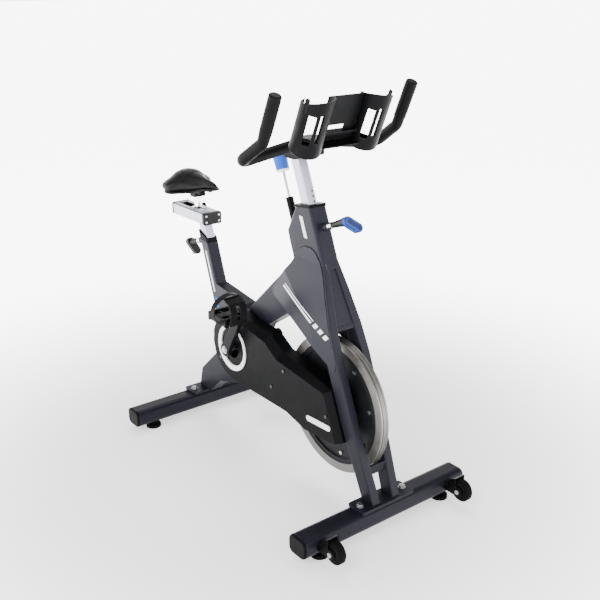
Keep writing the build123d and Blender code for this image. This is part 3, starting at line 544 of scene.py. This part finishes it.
def edge_loop(obj_tree, centre, height_of, count=96, reach=0.3):
    """Points round a solid's side wall, found from outside at a height that follows the form."""
    points = []
    for i in range(count):
        a = 2 * math.pi * i / count
        d = Vector((math.cos(a), math.sin(a), 0))
        o = Vector((centre.x, centre.y, 0)) + d * reach
        for _ in range(3):
            o.z = height_of(o.x)
            hit = obj_tree.ray_cast(o, -d)[0]
            if hit is None:
                break
            o.z = height_of(hit.x)
        if hit is not None:
            points.append(hit)
    return points


def make_piping(padding):
    """A stitched welt round the saddle's lower edge."""
    lo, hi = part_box("saddle_cushion")
    bm = bmesh.new()
    bm.from_mesh(padding.data)
    tree = BVHTree.FromBMesh(bm)
    bm.free()

    def under(x):
        return 0.7885 + max(0.0, (x + 0.515) * 0.20)

    curve = bpy.data.curves.new("saddle_welt", "CURVE")
    curve.dimensions, curve.bevel_depth, curve.bevel_resolution = "3D", 0.0013, 3
    spline = curve.splines.new("NURBS")
    pts = [p for p in edge_loop(tree, Vector((-0.515, 0, 0)), under) if lo.x < p.x < hi.x]
    spline.points.add(len(pts) - 1)
    for sp, p in zip(spline.points, pts):
        inward = Vector((-0.515 - p.x, -p.y, 0)).normalized() * 0.0006
        sp.co = (*(p + inward), 1)
    spline.use_cyclic_u = True
    spline.order_u = 3
    obj = bpy.data.objects.new("saddle_welt", curve)
    scene.collection.objects.link(obj)
    curve.materials.append(black_plastic)
    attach(obj, "saddle")


bar_elbow, bar_tip = (0.227, 0.226, 1.068), (0.280, 0.225, 1.188)
ring_start, ring_pitch = 0.040, 0.0055   # first ring above the elbow, and the distance between rings


def make_grip_rings():
    """Raised rings round each handlebar grip."""
    for name, s in (("left", 1), ("right", -1)):
        low, tip = (Vector((x, s * y, z)) for x, y, z in (bar_elbow, bar_tip))
        axis = (tip - low).normalized()
        bm = bmesh.new()
        turn = axis.to_track_quat("Z", "Y").to_matrix().to_4x4()
        for i in range(16):
            centre = low + axis * (ring_start + ring_pitch * i)
            ring = bmesh.ops.create_cone(bm, cap_ends=False, segments=40, radius1=0.0166, radius2=0.0166,
                                         depth=0.0022, matrix=Matrix.Translation(centre) @ turn)
            edges = list({e for v in ring["verts"] for e in v.link_edges})
            bmesh.ops.subdivide_edges(bm, edges=[e for e in edges if abs((e.verts[0].co - e.verts[1].co)
                                                                         .dot(axis)) > 0.001], cuts=3)
        for v in bm.verts:
            t = (v.co - low).dot(axis)
            k = ((t - ring_start + ring_pitch / 2) % ring_pitch) - ring_pitch / 2
            foot = low + axis * t
            out = (v.co - foot).normalized()
            v.co = foot + out * (0.0164 + 0.0005 * max(0.0, 1 - (k / 0.0011) ** 2))
        add_object(f"grip_rings_{name}", bm, rubber, "bar_mast")


make_markings()
make_piping(make_saddle())
make_grip_rings()


# ---------------- floor, light and camera ----------------
def make_floor():
    bm = bmesh.new()
    bmesh.ops.create_grid(bm, x_segments=1, y_segments=1, size=40)
    mesh = bpy.data.meshes.new("floor")
    bm.to_mesh(mesh)
    bm.free()
    floor = bpy.data.objects.new("floor", mesh)
    scene.collection.objects.link(floor)
    s = Surface("floor", (0.90, 0.90, 0.905), 0.6)
    far = s.node("ShaderNodeVectorMath", operation="LENGTH")
    s.link(s.coord, far.inputs[0])
    s.mottle(2, 0.99, 1.01).vary_rough(6, 0.05)
    # painted light: the floor glows, faintly near the object to lift its shadows and more with distance so
    # it fades to white
    s.link(s.ramp(far.outputs["Value"], 0.55, 2.2, 0.7, 7.0), s.bsdf.inputs["Emission Strength"])
    mesh.materials.append(s.done(bevel=0, Emission_Color=(1, 1, 1, 1)))


def area(name, place, target, size, power, colour=(1, 1, 1)):
    data = bpy.data.lights.new(name, "AREA")
    data.shape, data.size, data.energy, data.color = "DISK", size, power, colour
    obj = bpy.data.objects.new(name, data)
    scene.collection.objects.link(obj)
    obj.location = place
    obj.rotation_euler = (Vector(target) - Vector(place)).to_track_quat("-Z", "Y").to_euler()


make_floor()
area("key", (1.2, -2.8, 3.0), (0, 0, 0.5), 2.2, 120)
area("fill", (3.2, 0.6, 2.0), (0, 0, 0.6), 2.2, 50)
area("top", (-0.8, 0.8, 3.4), (0, 0, 0.4), 2.4, 90)
world = bpy.data.worlds.new("studio")
world.use_nodes = True
sky = world.node_tree
background = sky.nodes["Background"]
background.inputs["Color"].default_value = (1, 1, 1, 1)
split = sky.nodes.new("ShaderNodeSeparateXYZ")
sky.links.new(sky.nodes.new("ShaderNodeTexCoord").outputs["Generated"], split.inputs["Vector"])
band = sky.nodes.new("ShaderNodeMapRange")         # bright near the horizon, so the floor meets it unseen
band.interpolation_type = "SMOOTHSTEP"
for key, value in (("From Min", 0.20), ("From Max", 0.45), ("To Min", 5.0), ("To Max", 0.5)):
    band.inputs[key].default_value = value
sky.links.new(split.outputs["Z"], band.inputs["Value"])
sky.links.new(band.outputs["Result"], background.inputs["Strength"])
scene.world = world

camera_data = bpy.data.cameras.new("camera")
camera_data.lens, camera_data.sensor_width = 53.16, 36
camera = bpy.data.objects.new("camera", camera_data)
scene.collection.objects.link(camera)
camera_place, camera_aim = (2.000, -1.485, 1.474), (-0.7396, 0.5737, -0.3518)
camera.location = camera_place
camera.rotation_euler = Vector(camera_aim).to_track_quat("-Z", "Y").to_euler()
scene.camera = camera
